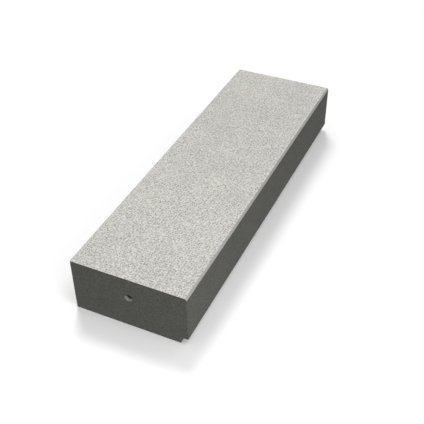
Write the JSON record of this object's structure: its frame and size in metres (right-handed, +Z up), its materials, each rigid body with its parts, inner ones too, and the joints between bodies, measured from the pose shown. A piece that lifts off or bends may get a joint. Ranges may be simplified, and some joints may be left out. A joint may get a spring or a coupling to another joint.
{
  "type": "precast concrete block step",
  "caption": "Long concrete block step with a pale stone-chip tread, dark cast sides, a chamfered nosing, a rebate under the front edge and a lifting sleeve in each end.",
  "frame": {"origin": "middle of the underside", "axes": "+X along the step, -Y out of the nosing (front) face, +Z up to the tread; left is -X and right is +X"},
  "size_m": [1, 0.3, 0.15],
  "materials": {
    "facing_concrete": "matte",
    "core_concrete": "matte",
    "sleeve_plastic": "satin",
    "rebar_steel": "matte",
    "tie_wire_steel": "satin",
    "spacer_cement": "matte"
  },
  "bodies": {
    "root": {"facing_layer": "facing_concrete", "core_block": "core_concrete", "lifting_sleeve_left": "sleeve_plastic", "lifting_sleeve_right": "sleeve_plastic", "sleeve_cap_left": "sleeve_plastic", "sleeve_cap_right": "sleeve_plastic", "top_bar_front": "rebar_steel", "top_bar_rear": "rebar_steel", "bottom_bar_front": "rebar_steel", "bottom_bar_rear": "rebar_steel", "stirrup_1": "rebar_steel", "stirrup_2": "rebar_steel", "stirrup_3": "rebar_steel", "stirrup_4": "rebar_steel", "stirrup_5": "rebar_steel", "tie_wires": "tie_wire_steel", "spacer_front_left": "spacer_cement", "spacer_front_right": "spacer_cement", "spacer_rear_left": "spacer_cement", "spacer_rear_right": "spacer_cement"}
  },
  "joints": []
}
